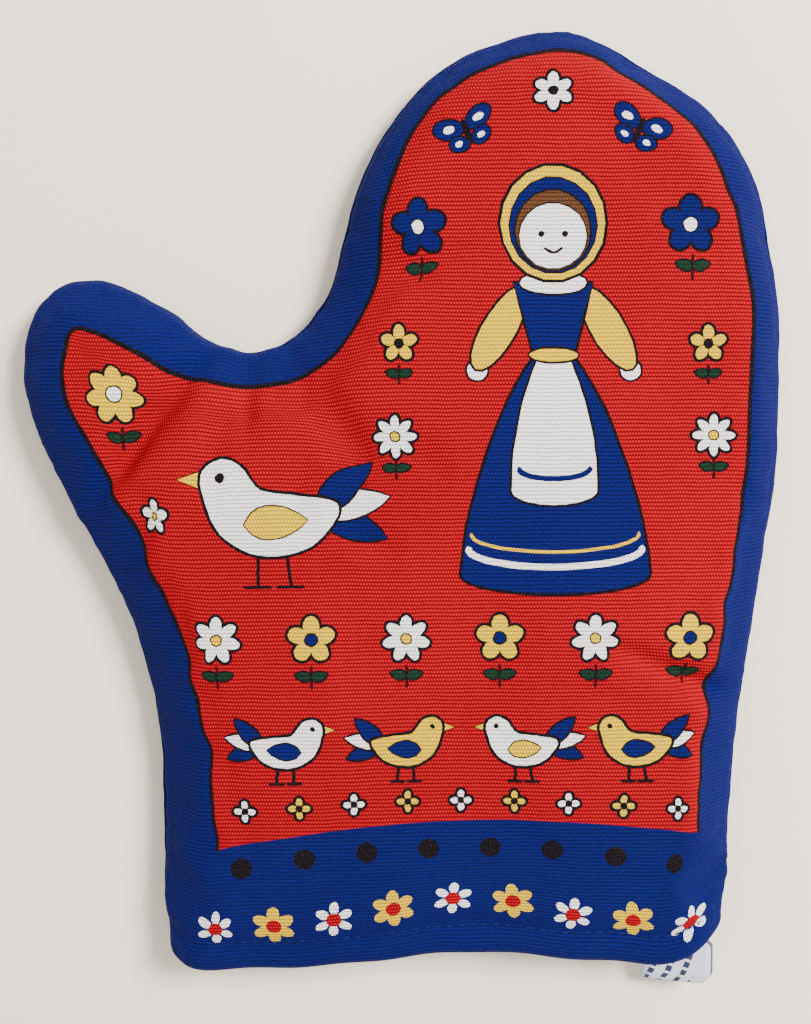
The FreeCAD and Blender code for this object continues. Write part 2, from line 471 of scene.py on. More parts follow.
CREASE_FADE = 0.25      # share of a fold's length over which its ends fade
OUTLINE_SPACING = 1.6
SEAM_LINE = rounded(OUTLINE, OUTLINE_SPACING)
SEAM = Seam(SEAM_LINE)


# The front's folds: how deep (below 0 for a ridge), from where to where, and how wide
FRONT_FOLDS = [
    (3.0, (-58, 45), (-84, 12), 3.8), (-0.9, (-52, 34), (-80, 4), 5.0), (1.7, (-44, 49), (-43, 27), 2.4),
    (0.9, (-31, 50), (-27, 30), 2.6), (2.4, (92, -48), (58, -34), 2.9), (-1.0, (90, -57), (54, -43), 4.0),
    (0.8, (2, -38), (70, -49), 6.5), (0.7, (-58, -40), (-44, -95), 5.0), (0.6, (20, -84), (22, -126), 8.0),
    (0.5, (70, -90), (60, -128), 6.0), (0.5, (60, 100), (90, 70), 6.0),
]


def by_stitches(y, wide, above=0.0):
    """1 on the hem's line of stitches, or some way above it, and fading to 0 on both sides."""
    return np.exp(-((y - HEM_STITCH_Y - above) / wide) ** 2)


def front_top(x, y):
    """Height of the front's broad surface: fullest over the palm, lower in thumb and fingers."""
    z = TOP_Z - 2.4 + 1.4 * bump(x, y, 15, -5, 70, 75)
    z = z - 1.2 * step(-55, -95, x) * step(-20, 30, y) - 0.8 * step(60, 125, y)
    z = z + 0.5 * np.sin(x / 17 + 0.6) * np.sin(y / 23 + 1.1) + 0.3 * np.sin(x / 9.5 - y / 13)
    for depth, start, end, wide in FRONT_FOLDS:
        z = z - depth * crease(x, y, start, end, wide)
    return z - 0.55 * by_stitches(y, 1.3) + 0.25 * by_stitches(y, 1.8, 3.4)


def back_low(x, y):
    """Height of the back's broad surface over the table."""
    z = 0.25 + 0.35 * (1 + np.sin(x / 15 + 1.0) * np.sin(y / 19)) / 2
    z = (z + 0.9 * crease(x, y, (-56, 44), (-80, 14), 4.0)
         + 0.6 * crease(x, y, (86, -48), (40, -40), 4.0))
    return z + 0.5 * by_stitches(y, 1.3)


def drawn_in(y):
    """How far the hem's stitches pull the inner face of the wall outward."""
    return 0.8 * by_stitches(y, 1.5)


def cuff_rise(x):
    """How far the cuff's edge stands in from the CAD part's straight one."""
    return (0.5 + 5.0 * np.exp(-((x - 19) / 36) ** 2) + 8.0 * np.clip((x - 68) / 20, 0, 1.1) ** 2.2
            + 3.6 * np.clip((-62 - x) / 9, 0, 1.1) ** 2 + 0.25 * np.sin(x / 4.1))


NEIGHBOURS = 7          # simulated points that move each point of the cloth
NEAR = 3.2              # how fast their weight falls with distance
PUCKER = 0.26           # height of the puckers beside the seam
SEAM_WANDER = 0.22      # how far the seam's line strays


class Form:
    """Where the cloth's surfaces lie. side is +1 for the front and -1 for the back."""

    def __init__(self):
        self.trees = {}
        self.shifts = {}

    def settle(self, side, flat, shift):
        """Keeps a simulated movement, known at some flat points, to be spread over the rest."""
        tree = KDTree(len(flat))
        for i, (x, y) in enumerate(flat):
            tree.insert((x, y, 0), i)
        tree.balance()
        self.trees[side] = tree
        self.shifts[side] = shift

    def settled(self, side, x, y):
        moved = np.zeros((len(x), 3))
        if side not in self.trees:
            return moved
        shift = self.shifts[side]
        tree = self.trees[side]
        for i in range(len(x)):
            near = tree.find_n((x[i], y[i], 0), NEIGHBOURS)
            weight = [math.exp(-(d / NEAR) ** 2) + 1e-6 for _, _, d in near]
            moved[i] = sum(w * shift[k] for w, (_, k, _) in zip(weight, near)) / sum(weight)
        return moved

    def outer(self, side, x, y):
        """The outer surface and its outward normal, for flat points from the cuff's roll up."""
        inside, outward, along = SEAM.measure(np.column_stack([x, y]))
        inside = np.maximum(inside, 0)
        reach = FRONT_ROUND if side > 0 else BACK_ROUND
        level = front_top(x, y) if side > 0 else back_low(x, y)
        tall = np.abs(level - SEAM_Z)
        low = np.clip(1 - inside / reach, 0, 1)
        high = np.sqrt(1 - low ** 2)
        normal = np.column_stack([outward * (low / reach)[:, None], side * high / tall])
        normal /= np.linalg.norm(normal, axis=1)[:, None]
        place = np.column_stack([x, y, SEAM_Z + side * tall * high])
        # the seam is drawn in, and the thread puckers the cloth beside it
        tight = (1 + 1.6 * bump(x, y, -44, 50, 22, 14) + 0.8 * bump(x, y, -95, 60, 14)
                 + 0.5 * bump(x, y, 88, -50, 12, 22))
        roll = 0.5 * np.exp(-((inside - 1.7) / 1.2) ** 2)
        pucker = (PUCKER * tight * ripple(along, 1.0 + side) * np.exp(-(inside / 6.5) ** 1.5)
                  * np.clip(inside / 1.2, 0, 1))
        place = place + normal * (roll + pucker)[:, None]
        wander = SEAM_WANDER * tight * ripple(along * 0.45, 4.0) * np.exp(-(inside / 7.0) ** 2)
        place[:, :2] += outward * wander[:, None]
        place = place + self.settled(side, x, y)
        return place, normal

    def surface(self, side, x, y, depth):
        """A point of the layer at a depth under the outer surface. Below the cuff's edge the
        flat point goes round the hem's fold and up inside."""
        past = ROLL_Y - y
        turn = np.clip(past / HEM_ROLL, 0, math.pi)
        inner = np.maximum(past - ROLL_LENGTH, 0)
        y_out = np.where(past > 0, ROLL_Y + inner, y)
        place, normal = self.outer(side, np.asarray(x, float), y_out)
        place = place - normal * (HEM_ROLL * (1 - np.cos(turn)))[:, None]
        place = place + normal * np.where(inner > 0, drawn_in(y_out), 0)[:, None]
        place[:, 1] -= HEM_ROLL * np.sin(turn)
        facing = normal * np.cos(turn)[:, None]
        facing[:, 1] -= np.sin(turn)
        place = place - facing * np.asarray(depth, float).reshape(-1, 1)
        fall = 1 - step(CUFF_Y + 6, CUFF_Y + 44, place[:, 1])
        place[:, 1] += cuff_rise(place[:, 0]) * fall
        # the cuff's right corner stands a little higher
        corner = np.clip((place[:, 0] - 54) / 34, 0, 1.15) ** 2
        place[:, 2] += 2.2 * corner * (1 - step(CUFF_Y, CUFF_Y + 26, place[:, 1]))
        return place, facing


FORM = Form()


# ---------------------------------------------------------------- flat cuts and their meshes

FLAP_SPACING = 1.3      # of points down the flap's sides
EDGE_SPACING = 2.4      # and along its lower edge
ROW_SHARE = 0.866       # height of a row of even triangles, as a share of their sides


def cut_outline(low_y):
    """The flat cut: the seam line from the cuff round to the cuff, then a flap down to low_y."""
    edge = ROLL_Y if low_y < ROLL_Y else low_y
    line = kept_run(SEAM_LINE, SEAM_LINE[:, 1] > edge + 0.4)
    left = crossing(edge, -1)
    right = crossing(edge, 1)
    flap = max(1, round((edge - low_y) / FLAP_SPACING))
    down = [(right, edge - (edge - low_y) * k / flap) for k in range(flap + 1)]
    if low_y >= ROLL_Y:
        down = [(right, edge)]
    across = max(2, round((right - left) / EDGE_SPACING))
    bottom = [(right + (left - right) * k / across, low_y) for k in range(1, across)]
    up = [(left, y) for _, y in down[::-1]]
    return np.vstack([line, down, bottom, up])


def crossing(y, side):
    """Where the seam line crosses height y on the left (-1) or right (+1), near the cuff."""
    a = SEAM_LINE
    b = np.roll(SEAM_LINE, -1, 0)
    hit = (a[:, 1] - y) * (b[:, 1] - y) <= 0
    t = (y - a[hit, 1]) / (b[hit, 1] - a[hit, 1] + 1e-12)
    xs = a[hit, 0] + (b[hit, 0] - a[hit, 0]) * t
    return float(xs.max() if side > 0 else xs.min())


def inner_points(outline, spacing, rings):
    """Points to triangulate inside a cut: rings close to the seam, then an even lattice."""
    found = []
    for depth in rings:
        for i in range(len(outline)):
            p = outline[i]
            along = outline[(i + 1) % len(outline)] - outline[i - 1]
            size = np.linalg.norm(along)
            if size > 1e-6:
                found.append(p + np.array([along[1], -along[0]]) / size * depth)
    found = np.array(found).reshape(-1, 2)
    low = outline.min(0)
    high = outline.max(0)
    rows = []
    for k, y in enumerate(np.arange(low[1] + spacing / 2, high[1], spacing * ROW_SHARE)):
        row = np.arange(low[0] + (spacing / 2 if k % 2 else 0), high[0], spacing)
        rows.append(np.column_stack([row, np.full(len(row), y)]))
    lattice = np.vstack(rows)
    closed = Seam(outline)
    deep, _, _ = closed.measure(lattice)
    lattice = lattice[deep > (rings[-1] if rings else 0) + spacing * 0.5]
    if len(found):
        gap, _, _ = closed.measure(found)
        want = np.repeat(rings, len(outline))
        found = found[gap > want * 0.92]
    return np.vstack([found, lattice])


def covered(points, shape):
    """Which points lie inside a closed shape, by how often it winds round them."""
    shape = np.array(shape)
    near = ((points > shape.min(0)) & (points < shape.max(0))).all(1)
    x, y = points[near].T[:, :, None]
    ax, ay = shape.T
    bx, by = np.roll(shape, -1, 0).T
    side = (bx - ax) * (y - ay) - (x - ax) * (by - ay)
    winds = ((ay <= y) & (by > y) & (side > 0)).sum(1) - ((ay > y) & (by <= y) & (side < 0)).sum(1)
    inside = np.zeros(len(points), bool)
    inside[np.flatnonzero(near)[winds != 0]] = True
    return inside


def triangulate(outline, points, shapes=()):
    """Triangles of a cut, for each the ink of the last shape that covers it, and for each
    point its place in the outline, or -1."""
    flat = [Vector(p) for p in outline]
    face = list(range(len(outline)))[::-1]      # the outline runs clockwise
    edges = []
    for shape, _ in shapes:
        first = len(flat)
        flat += [Vector(p) for p in shape]
        edges += [(first + i, first + (i + 1) % len(shape)) for i in range(len(shape))]
    flat += [Vector(p) for p in points]
    out = delaunay_2d_cdt(flat, edges, [face], 1, 1e-4, True)
    place = np.array([tuple(v) for v in out[0]])
    rim = np.array([min(source) if source and min(source) < len(outline) else -1
                    for source in out[3]])
    corner = np.array([face[:3] for face in out[2]])
    a, b, c = (place[corner[:, i]] for i in range(3))
    turn = (b[:, 0] - a[:, 0]) * (c[:, 1] - a[:, 1]) - (b[:, 1] - a[:, 1]) * (c[:, 0] - a[:, 0])
    keep = (np.abs(turn) > 1e-9) & covered((a + b + c) / 3, outline)
    corner[turn < 0] = corner[turn < 0][:, ::-1]
    middle = ((a + b + c) / 3)[keep]
    inks = np.zeros(len(middle), int)
    for shape, ink in shapes:
        inks[covered(middle, shape)] = ink
    return place, corner[keep].tolist(), inks.tolist(), rim


def weave_place(side, x, y):
    """Flat coordinates along the threads, unrolled over the rounded edges."""
    y_out = np.where(y < ROLL_Y, ROLL_Y, y)
    inside, outward, _ = SEAM.measure(np.column_stack([x, y_out]))
    reach = FRONT_ROUND if side > 0 else BACK_ROUND
    low = np.clip(1 - np.maximum(inside, 0) / reach, 0, 1)
    extra = reach * (np.arcsin(low) - low)
    return np.column_stack([x + outward[:, 0] * extra, y + outward[:, 1] * extra, np.zeros(len(x))])


def solid_piece(name, points, faces, materials, inks=None, weave=None):
    """A smooth-shaded piece of the model, from points in metres."""
    mesh = bpy.data.meshes.new(name)
    mesh.from_pydata(points, [], faces)
    for material in materials:
        mesh.materials.append(material)
    if inks is not None:
        mesh.polygons.foreach_set("material_index", inks)
    mesh.polygons.foreach_set("use_smooth", [True] * len(mesh.polygons))
    if weave is not None:
        attribute = mesh.attributes.new("weave", "FLOAT_VECTOR", "POINT")
        attribute.data.foreach_set("vector", np.array(weave, np.float32).ravel())
    mesh.update()
    piece = bpy.data.objects.new(name, mesh)
    bpy.context.scene.collection.objects.link(piece)
    return piece


def layer(name, side, low_y, outer_depth, inner_depth, materials, spacing, rings,
          shapes=(), under=None):
    """A closed layer of cloth or wadding between two depths, which are functions of flat y.
    Points are spacing apart on its outer face, and under apart on its inner face if given."""
    outline = cut_outline(low_y)
    place, triangles, inks, rim = triangulate(outline, inner_points(outline, spacing, rings), shapes)
    x, y = place[:, 0], place[:, 1]
    top, _ = FORM.surface(side, x, y, outer_depth(y))
    under_points = inner_points(outline, under or spacing, rings[1::2])
    low, low_triangles, _, low_rim = triangulate(outline, under_points)
    ux, uy = low[:, 0], low[:, 1]
    bottom, _ = FORM.surface(side, ux, uy, inner_depth(uy))
    weave = np.vstack([weave_place(side, x, y), weave_place(side, ux, uy)])
    points = np.vstack([top, bottom]) * MM
    shift = len(top)
    faces = [tuple(f) for f in triangles]
    faces += [tuple(i + shift for i in f[::-1]) for f in low_triangles]
    inks = inks + [0] * len(low_triangles)
    # the rim joins both surfaces along the cut's outline
    lower = {int(source): i + shift for i, source in enumerate(low_rim) if source >= 0}
    for a, b in rim_edges(triangles):
        faces.append((b, a, lower[int(rim[a])], lower[int(rim[b])]))
        inks.append(0)
    if side < 0:
        faces = [f[::-1] for f in faces]
    return solid_piece(name, points.tolist(), faces, materials, inks, weave)


def rim_edges(triangles):
    """The edges that only one triangle uses, in that triangle's direction."""
    used = {}
    for face in triangles:
        for a, b in zip(face, face[1:] + face[:1]):
            used[(a, b)] = True
    return [(a, b) for a, b in used if (b, a) not in used]


# ---------------------------------------------------------------- cloth simulation

SIM_SPACING = 4.2
SIM_FRAMES = 22
SIM_CAP = 1.8           # the furthest that a point may end from the drawn form, mm
SIM_SCALE = 10.0        # metres per metre: the solver likes larger cloth
SIM_BROAD = 20.0        # movements slower than this, in mm, are left to the drawn form
SIM_SETTINGS = {
    "quality": 6, "mass": 0.4, "air_damping": 4.0, "tension_stiffness": 18, "compression_stiffness": 18,
    "shear_stiffness": 8, "bending_stiffness": 0.6, "vertex_group_mass": "pin", "pin_stiffness": 1.0,
    "vertex_group_shrink": "shrink", "shrink_min": -0.012, "shrink_max": 0.075,
    "use_pressure": True, "uniform_pressure_force": 1.2,
}


def simulate():
    """Inflates the sewn canvas a little, with its seam drawn tight, to find where it puckers."""
    outline = cut_outline(ROLL_Y)
    flat, triangles, _, _ = triangulate(outline, inner_points(outline, SIM_SPACING, [1.2, 3.4, 6.6]))
    x, y = flat[:, 0], flat[:, 1]
    on_edge = set()
    for a, b in rim_edges(triangles):
        on_edge.update((a, b))
    inside, outward, _ = SEAM.measure(flat)
    sewn = np.array([i in on_edge and inside[i] < 0.05 for i in range(len(flat))])
    front, _ = FORM.outer(1, x, y)
    back, _ = FORM.outer(-1, x, y)
    back_index = np.where(sewn, np.arange(len(flat)), 0)
    loose = np.flatnonzero(~sewn)
    back_index[loose] = len(flat) + np.arange(len(loose))
    points = np.vstack([front, back[loose]])
    faces = [tuple(f) for f in triangles]
    faces += [tuple(int(back_index[i]) for i in f[::-1]) for f in triangles]
    mesh = bpy.data.meshes.new("sim_canvas")
    mesh.from_pydata((points * MM * SIM_SCALE).tolist(), [], faces)
    piece = bpy.data.objects.new("sim_canvas", mesh)
    bpy.context.scene.collection.objects.link(piece)
    pin = piece.vertex_groups.new(name="pin")
    shrink = piece.vertex_groups.new(name="shrink")
    depth = np.concatenate([inside, inside[loose]])
    height = np.concatenate([y, y[loose]])
    for i in range(len(points)):
        if height[i] < ROLL_Y + 1:
            pin.add([i], 1.0, "REPLACE")
        shrink.add([i], float(np.exp(-(depth[i] / 2.5) ** 2)), "REPLACE")
    cloth = piece.modifiers.new("cloth", "CLOTH")
    for key, value in SIM_SETTINGS.items():
        setattr(cloth.settings, key, value)
    cloth.settings.effector_weights.gravity = 0.0
    cloth.collision_settings.use_collision = False
    scene = bpy.context.scene
    for number in range(1, SIM_FRAMES + 1):
        scene.frame_set(number)
    evaluated = piece.evaluated_get(bpy.context.evaluated_depsgraph_get())
    moved = np.zeros(len(points) * 3, np.float32)
    evaluated.data.vertices.foreach_get("co", moved)
    moved = moved.reshape(-1, 3) / (MM * SIM_SCALE)
    scene.frame_set(1)
    shift = moved - points
    bpy.data.objects.remove(piece)
    bpy.data.meshes.remove(mesh)
    front_shift = shift[:len(flat)]
    back_shift = np.array([shift[int(back_index[i])] for i in range(len(flat))])
    for side, values in ((1, front_shift), (-1, back_shift)):
        fine = values - broad(flat, values)
        # the seam line itself stays where the pattern has it
        for near, far in ((-1, 0.6), (0.6, 2.3), (2.3, 5), (5, 8.5), (8.5, 13), (13, 19)):
            ring = (inside > near) & (inside <= far) & (flat[:, 1] > ROLL_Y + 6)
            drawn = (fine[ring, :2] * outward[ring]).sum(1)
            fine[ring, :2] -= outward[ring] * drawn.mean()
        size = np.linalg.norm(fine, axis=1)[:, None]
        fine = fine * np.minimum(1, SIM_CAP / np.maximum(size, 1e-6))
        fade = step(0, 16, flat[:, 1] - ROLL_Y)[:, None]
        if side < 0:
            # the back lies on the table, so it can't bulge downward
            resting = np.maximum(fine[:, 2], -0.1) * 0.3
            fine[:, 2] = np.where(inside > BACK_ROUND, resting, fine[:, 2])
        FORM.settle(side, flat, fine * fade)
    print("cloth: moved up to %.2f mm, kept up to %.2f mm" % (
        np.linalg.norm(shift, axis=1).max(), np.linalg.norm(fine, axis=1).max()))


def broad(flat, values):
    """The slow part of a movement, which the drawn form already has."""
    result = np.empty_like(values)
    for i in range(0, len(flat), 500):
        gap = ((flat[i:i + 500, None, :] - flat[None]) ** 2).sum(2)
        weight = np.exp(-gap / SIM_BROAD ** 2)
        result[i:i + 500] = weight @ values / weight.sum(1)[:, None]
    return result


# ---------------------------------------------------------------- materials

def linear(red, green, blue):
    """A screen colour from 0 to 255 as linear light."""
    def one(value):
        value /= 255
        return value / 12.92 if value <= 0.04045 else ((value + 0.055) / 1.055) ** 2.4
    return (one(red), one(green), one(blue), 1.0)


WHITE = (1, 1, 1, 1)


class Shade:
    """A material's node tree, with short ways to add nodes to it."""

    def __init__(self, name, rough, sheen=0.0, sheen_tint=WHITE, specular=0.3):
        self.material = bpy.data.materials.new(name)
        self.material.use_nodes = True
        self.tree = self.material.node_tree
        self.surface = self.tree.nodes["Principled BSDF"]
        for socket, value in (
                ("Roughness", rough), ("Sheen Weight", sheen), ("Sheen Roughness", 0.55),
                ("Sheen Tint", sheen_tint), ("Specular IOR Level", specular)):
            self.surface.inputs[socket].default_value = value

    def put(self, kind, values=None, **settings):
        node = self.tree.nodes.new(kind)
        for key, value in settings.items():
            setattr(node, key, value)
        for key, value in (values or {}).items():
            self.feed(node.inputs[key], value)
        return node

    def feed(self, socket, value):
        if isinstance(value, bpy.types.NodeSocket):
            self.tree.links.new(value, socket)
        else:
            socket.default_value = value

    def math(self, kind, a, b=0.0, c=0.0):
        node = self.put("ShaderNodeMath", operation=kind)
        for socket, value in zip(node.inputs, (a, b, c)):
            self.feed(socket, value)
        return node.outputs[0]

    def wave(self, value, times):
        return self.math("SINE", self.math("MULTIPLY", value, times))

    def humps(self, value):
        """Rounded humps, one for each whole step of a value."""
        return self.math("ABSOLUTE", self.wave(value, math.pi))

    def ramp(self, value, low, high, to_low=0.0, to_high=1.0):
        return self.put("ShaderNodeMapRange", {"Value": value, "From Min": low, "From Max": high,
                                               "To Min": to_low, "To Max": to_high}).outputs[0]

    def noise(self, place, scale, detail=2.0, rough=0.5):
        return self.put("ShaderNodeTexNoise", {"Vector": place, "Scale": scale, "Detail": detail,
                                               "Roughness": rough}).outputs["Fac"]

    def vector(self, kind, a, b, c=None):
        values = {0: a, 1: b} if c is None else {0: a, 1: b, 2: c}
        return self.put("ShaderNodeVectorMath", values, operation=kind).outputs[0]

    def stretch(self, place, by):
        return self.vector("MULTIPLY", place, by)

    def weave(self):
        """The cloth's own coordinates: across, along and a third value that each piece explains."""
        return self.put("ShaderNodeAttribute", attribute_name="weave").outputs["Vector"]

    def spot(self):
        """The piece's own coordinates, in metres."""
        return self.put("ShaderNodeTexCoord").outputs["Object"]

    def split(self, vector):
        return self.put("ShaderNodeSeparateXYZ", {0: vector}).outputs

    def lit(self, colour, light):
        """A colour made lighter or darker by a factor."""
        shade = self.put("ShaderNodeCombineXYZ", {"X": light, "Y": light, "Z": light}).outputs[0]
        return self.blend(1.0, colour, shade, "MULTIPLY")

    def blend(self, amount, a, b, kind="MIX"):
        node = self.put("ShaderNodeMix", data_type="RGBA", blend_type=kind)
        self.feed(node.inputs[0], amount)
        self.feed(node.inputs[6], a)
        self.feed(node.inputs[7], b)
        return node.outputs[2]

    def relief(self, height, distance, strength=1.0, under=None):
        values = {"Height": height, "Distance": distance, "Strength": strength}
        if under is not None:
            values["Normal"] = under
        return self.put("ShaderNodeBump", values).outputs[0]

    def finish(self, colour, normal=None, rough=None):
        self.feed(self.surface.inputs["Base Color"], colour)
        if normal is not None:
            self.feed(self.surface.inputs["Normal"], normal)
        if rough is not None:
            self.feed(self.surface.inputs["Roughness"], rough)
        return self.material


RIB = 1.08              # pitch of the canvas's ribs, mm
BEAD = 0.82             # and of the beads along them
RIB_DEPTH = 0.0004      # in metres, as all relief is
CANVAS_ROUGH = 0.85
YARN_TWIST = 2600.0


def canvas(name, colour, fleck, fleck_amount, tint, sheen, contrast):
    """Ribbed cotton canvas: ribs across the mitt, beads where the warp crosses them, painted
    shade in the grooves and painted highlight on the crests, and specks between the ribs:
    paler bare yarn under a dark ink, painted shade under a pale one."""
    s = Shade(name, CANVAS_ROUGH, sheen, tint, 0.08)
    weave = s.weave()
    sway = s.put("ShaderNodeTexNoise", {"Vector": weave, "Scale": 0.11, "Detail": 2.0})
    sway = s.vector("ADD", sway.outputs["Color"], (-0.5, -0.5, -0.5))
    place = s.vector("MULTIPLY_ADD", sway, (0.7, 0.7, 0.0), weave)
    split = s.split(place)
    row = s.math("DIVIDE", split["Y"], RIB)
    ridge = s.math("POWER", s.humps(row), 0.7)
    offset = s.math("MULTIPLY", s.math("FLOOR", row), 0.5)
    beads = s.humps(s.math("ADD", s.math("DIVIDE", split["X"], BEAD), offset))
    uneven = s.noise(s.stretch(place, (0.55, 2.3, 1.0)), 1.0, 3.0, 0.6)
    height = s.math("MULTIPLY", ridge, s.math("MULTIPLY_ADD", beads, 0.55, 0.45))
    height = s.math("MULTIPLY_ADD", uneven, 0.5, height)
    grain = s.noise(s.stretch(place, (6.0, 6.0, 6.0)), 1.0, 2.0)
    # colour: painted shade in the grooves, painted highlight on the crests, uneven yarn, specks in the
    # grooves, broad fading
    broad_patch = s.noise(weave, 0.018, 3.0)
    # painted shade and painted highlight: the ribs' height darkens the grooves and lightens the crests
    light = s.ramp(height, 0.3, 1.3, 1.0 - contrast, 1.0 + 0.7 * contrast)
    light = s.math("MULTIPLY", light, s.math("MULTIPLY_ADD", broad_patch, 0.26, 0.87))
    light = s.math("MULTIPLY", light, s.math("MULTIPLY_ADD", grain, 0.4, 0.8))
    # where the specks go; under a pale ink they are painted shade
    groove = s.math("POWER", s.math("SUBTRACT", 1.0, s.math("MULTIPLY", ridge, beads)), 3.0)
    speck = s.noise(s.stretch(place, (1.6, 0.9, 1.0)), 1.3, 2.0)
    speck = s.math("MULTIPLY", groove, s.ramp(speck, 0.45, 0.68))
    mixed = s.blend(s.math("MULTIPLY", speck, fleck_amount), s.lit(colour, light), fleck)
    normal = s.relief(grain, 0.00006, 0.6, s.relief(height, RIB_DEPTH))
    return s.finish(mixed, normal, s.math("MULTIPLY_ADD", uneven, 0.2, CANVAS_ROUGH - 0.1))


def fine_cotton(name, colour, pitch):
    """Plain-woven lining cotton."""
    s = Shade(name, 0.85, 0.15, specular=0.2)
    weave = s.weave()
    split = s.split(weave)
    per_thread = math.tau / pitch
    threads = s.math("MULTIPLY", s.wave(split["X"], per_thread), s.wave(split["Y"], per_thread))
    slub = s.noise(s.stretch(weave, (0.4, 2.0, 1.0)), 0.8, 3.0)
    light = s.math("MULTIPLY_ADD", threads, 0.05, s.math("MULTIPLY_ADD", slub, 0.2, 0.86))
    height = s.math("MULTIPLY_ADD", threads, 0.4, slub)
    return s.finish(s.lit(colour, light), s.relief(height, 0.0002))


def fibre(name, colour):
    """Matted polyester wadding."""
    s = Shade(name, 0.95, 0.3, specular=0.15)
    place = s.spot()
    tangle = s.noise(place, 900.0, 5.0, 0.7)
    clump = s.noise(place, 120.0, 3.0)
    light = s.math("MULTIPLY_ADD", tangle, 0.3, s.math("MULTIPLY_ADD", clump, 0.2, 0.75))
    return s.finish(s.lit(colour, light), s.relief(tangle, 0.0006))


def yarn(name, colour):
    """Twisted sewing thread."""
    s = Shade(name, 0.6, 0.0, specular=0.12)
    place = s.spot()
    ply = s.put("ShaderNodeTexWave",
                {"Vector": place, "Scale": YARN_TWIST / math.tau / 3, "Distortion": 1.5},
                bands_direction="DIAGONAL").outputs["Fac"]
    lint = s.noise(place, 2500.0, 2.0)
    light = s.math("MULTIPLY_ADD", ply, 0.45, s.math("MULTIPLY_ADD", lint, 0.3, 0.55))
    return s.finish(s.lit(colour, light), s.relief(ply, 0.0001))


def ribbon(name, front_colour, shaded_inside_colour, print_colour):
    """Satin label ribbon with a few generic printed bars, and painted shade on its inner face,
    which is coloured grey. The piece gives its place along and across the ribbon, and its face,
    in the weave attribute."""
    s = Shade(name, 0.5, 0.05, specular=0.15)
    weave = s.weave()
    along, across, face = (s.split(weave)[axis] for axis in "XYZ")
    threads = s.wave(across, math.tau / 0.32)
    slub = s.noise(s.stretch(weave, (0.6, 4.0, 1.0)), 1.0, 3.0)
    light = s.math("MULTIPLY_ADD", threads, 0.03, s.math("MULTIPLY_ADD", slub, 0.16, 0.9))

    def stripes(value, half_pitch, half_wide, kind):
        return s.math(kind, s.math("PINGPONG", value, half_pitch), half_wide)

    def within(value, middle, half_wide):
        return s.math("LESS_THAN", s.math("ABSOLUTE", s.math("SUBTRACT", value, middle)), half_wide)

    rows = stripes(s.math("MULTIPLY_ADD", across, 0.3, along), 1.9, 0.75, "LESS_THAN")
    bars = stripes(s.math("MULTIPLY_ADD", along, -0.3, across), 1.35, 0.42, "GREATER_THAN")
    printed = s.math("MULTIPLY", within(across, 7.0, 7.2), within(along, 9.5, 5.8))
    mark = s.math("MULTIPLY", s.math("MULTIPLY", rows, bars), printed)
    mark = s.math("MULTIPLY", mark, s.math("GREATER_THAN", face, 0.5))
    # painted shade: the inner face takes the grey shaded colour, the front face the satin's own
    colour = s.lit(s.blend(face, shaded_inside_colour, front_colour), light)
    colour = s.blend(s.math("MULTIPLY", mark, 0.96), colour, print_colour)
    return s.finish(colour, s.relief(threads, 0.00004))


# The printed inks: linear colour, tint of the sheen over it, and what shows in the grooves: bare yarn
# under a dark ink, painted shade under a pale one
BARE_YARN = (0.62, 0.42, 0.40, 1)       # unprinted cotton, under a dark ink
PAINTED_GROOVE_SHADE = (0.16, 0.12, 0.12, 1)     # shade, in a pale ink
INK_LOOKS = {
    "blue": ((0.0028, 0.0040, 0.080, 1), (0.02, 0.06, 0.55, 1), (0.10, 0.16, 0.50, 1)),
    "red": ((0.31, 0.0, 0.0055, 1), (1.0, 0.02, 0.02, 1), (0.62, 0.03, 0.04, 1)),
    "dark": ((0.0036, 0.0024, 0.0044, 1), (0.08, 0.05, 0.08, 1), BARE_YARN),
    "white": ((0.88, 0.85, 0.82, 1), WHITE, PAINTED_GROOVE_SHADE),
    "yellow": ((0.70, 0.43, 0.0, 1), WHITE, PAINTED_GROOVE_SHADE),
    "green": ((0.0040, 0.0230, 0.0110, 1), (0.03, 0.2, 0.1, 1), BARE_YARN),
    "maroon": ((0.022, 0.0010, 0.0034, 1), (0.4, 0.02, 0.05, 1), BARE_YARN),
    "brown": ((0.085, 0.032, 0.012, 1), (0.5, 0.2, 0.08, 1), BARE_YARN),
}


def inked(name, ink, fleck_amount=0.06):
    colour, tint, fleck = INK_LOOKS[ink]
    # pale inks get dark specks of painted shade in their grooves
    if fleck == PAINTED_GROOVE_SHADE:
        return canvas(name, colour, fleck, 0.42, tint, 0.05, 0.3)
    return canvas(name, colour, fleck, fleck_amount, tint, 0.12, 0.62)


ink_materials = [inked("canvas_" + ink, ink) for ink in INKS]
plain_blue = inked("canvas_plain_blue", "blue", 0.05)
cotton_cream = fine_cotton("lining_cotton_cream", linear(224, 216, 200), 0.5)
wadding_white = fibre("wadding_white", linear(236, 236, 232))
thread_navy = yarn("thread_navy", (0.004, 0.006, 0.075, 1))
thread_white = yarn("thread_white", linear(225, 222, 214))
# the second colour is painted shade for the ribbon's inner face
label_satin = ribbon("label_satin", linear(214, 218, 232), linear(96, 98, 108),
                     (0.004, 0.007, 0.05, 1))


# ---------------------------------------------------------------- the pieces

simulate()


def even(depth):
    return lambda y: np.full(len(y), depth)


def tuck(y):
    """How much the layers under the turned-up hem are pressed outward."""
    return 0.75 * (1 - step(HEM_END_Y - 1.0, HEM_END_Y + 2.5, y)) + drawn_in(y)


def tucked(depth):
    return lambda y: depth - tuck(y)


HALVES = (("front", 1), ("back", -1))
INNER_RINGS = [1.0, 2.2, 4.0]       # how far in from the outline the rings of points lie, mm

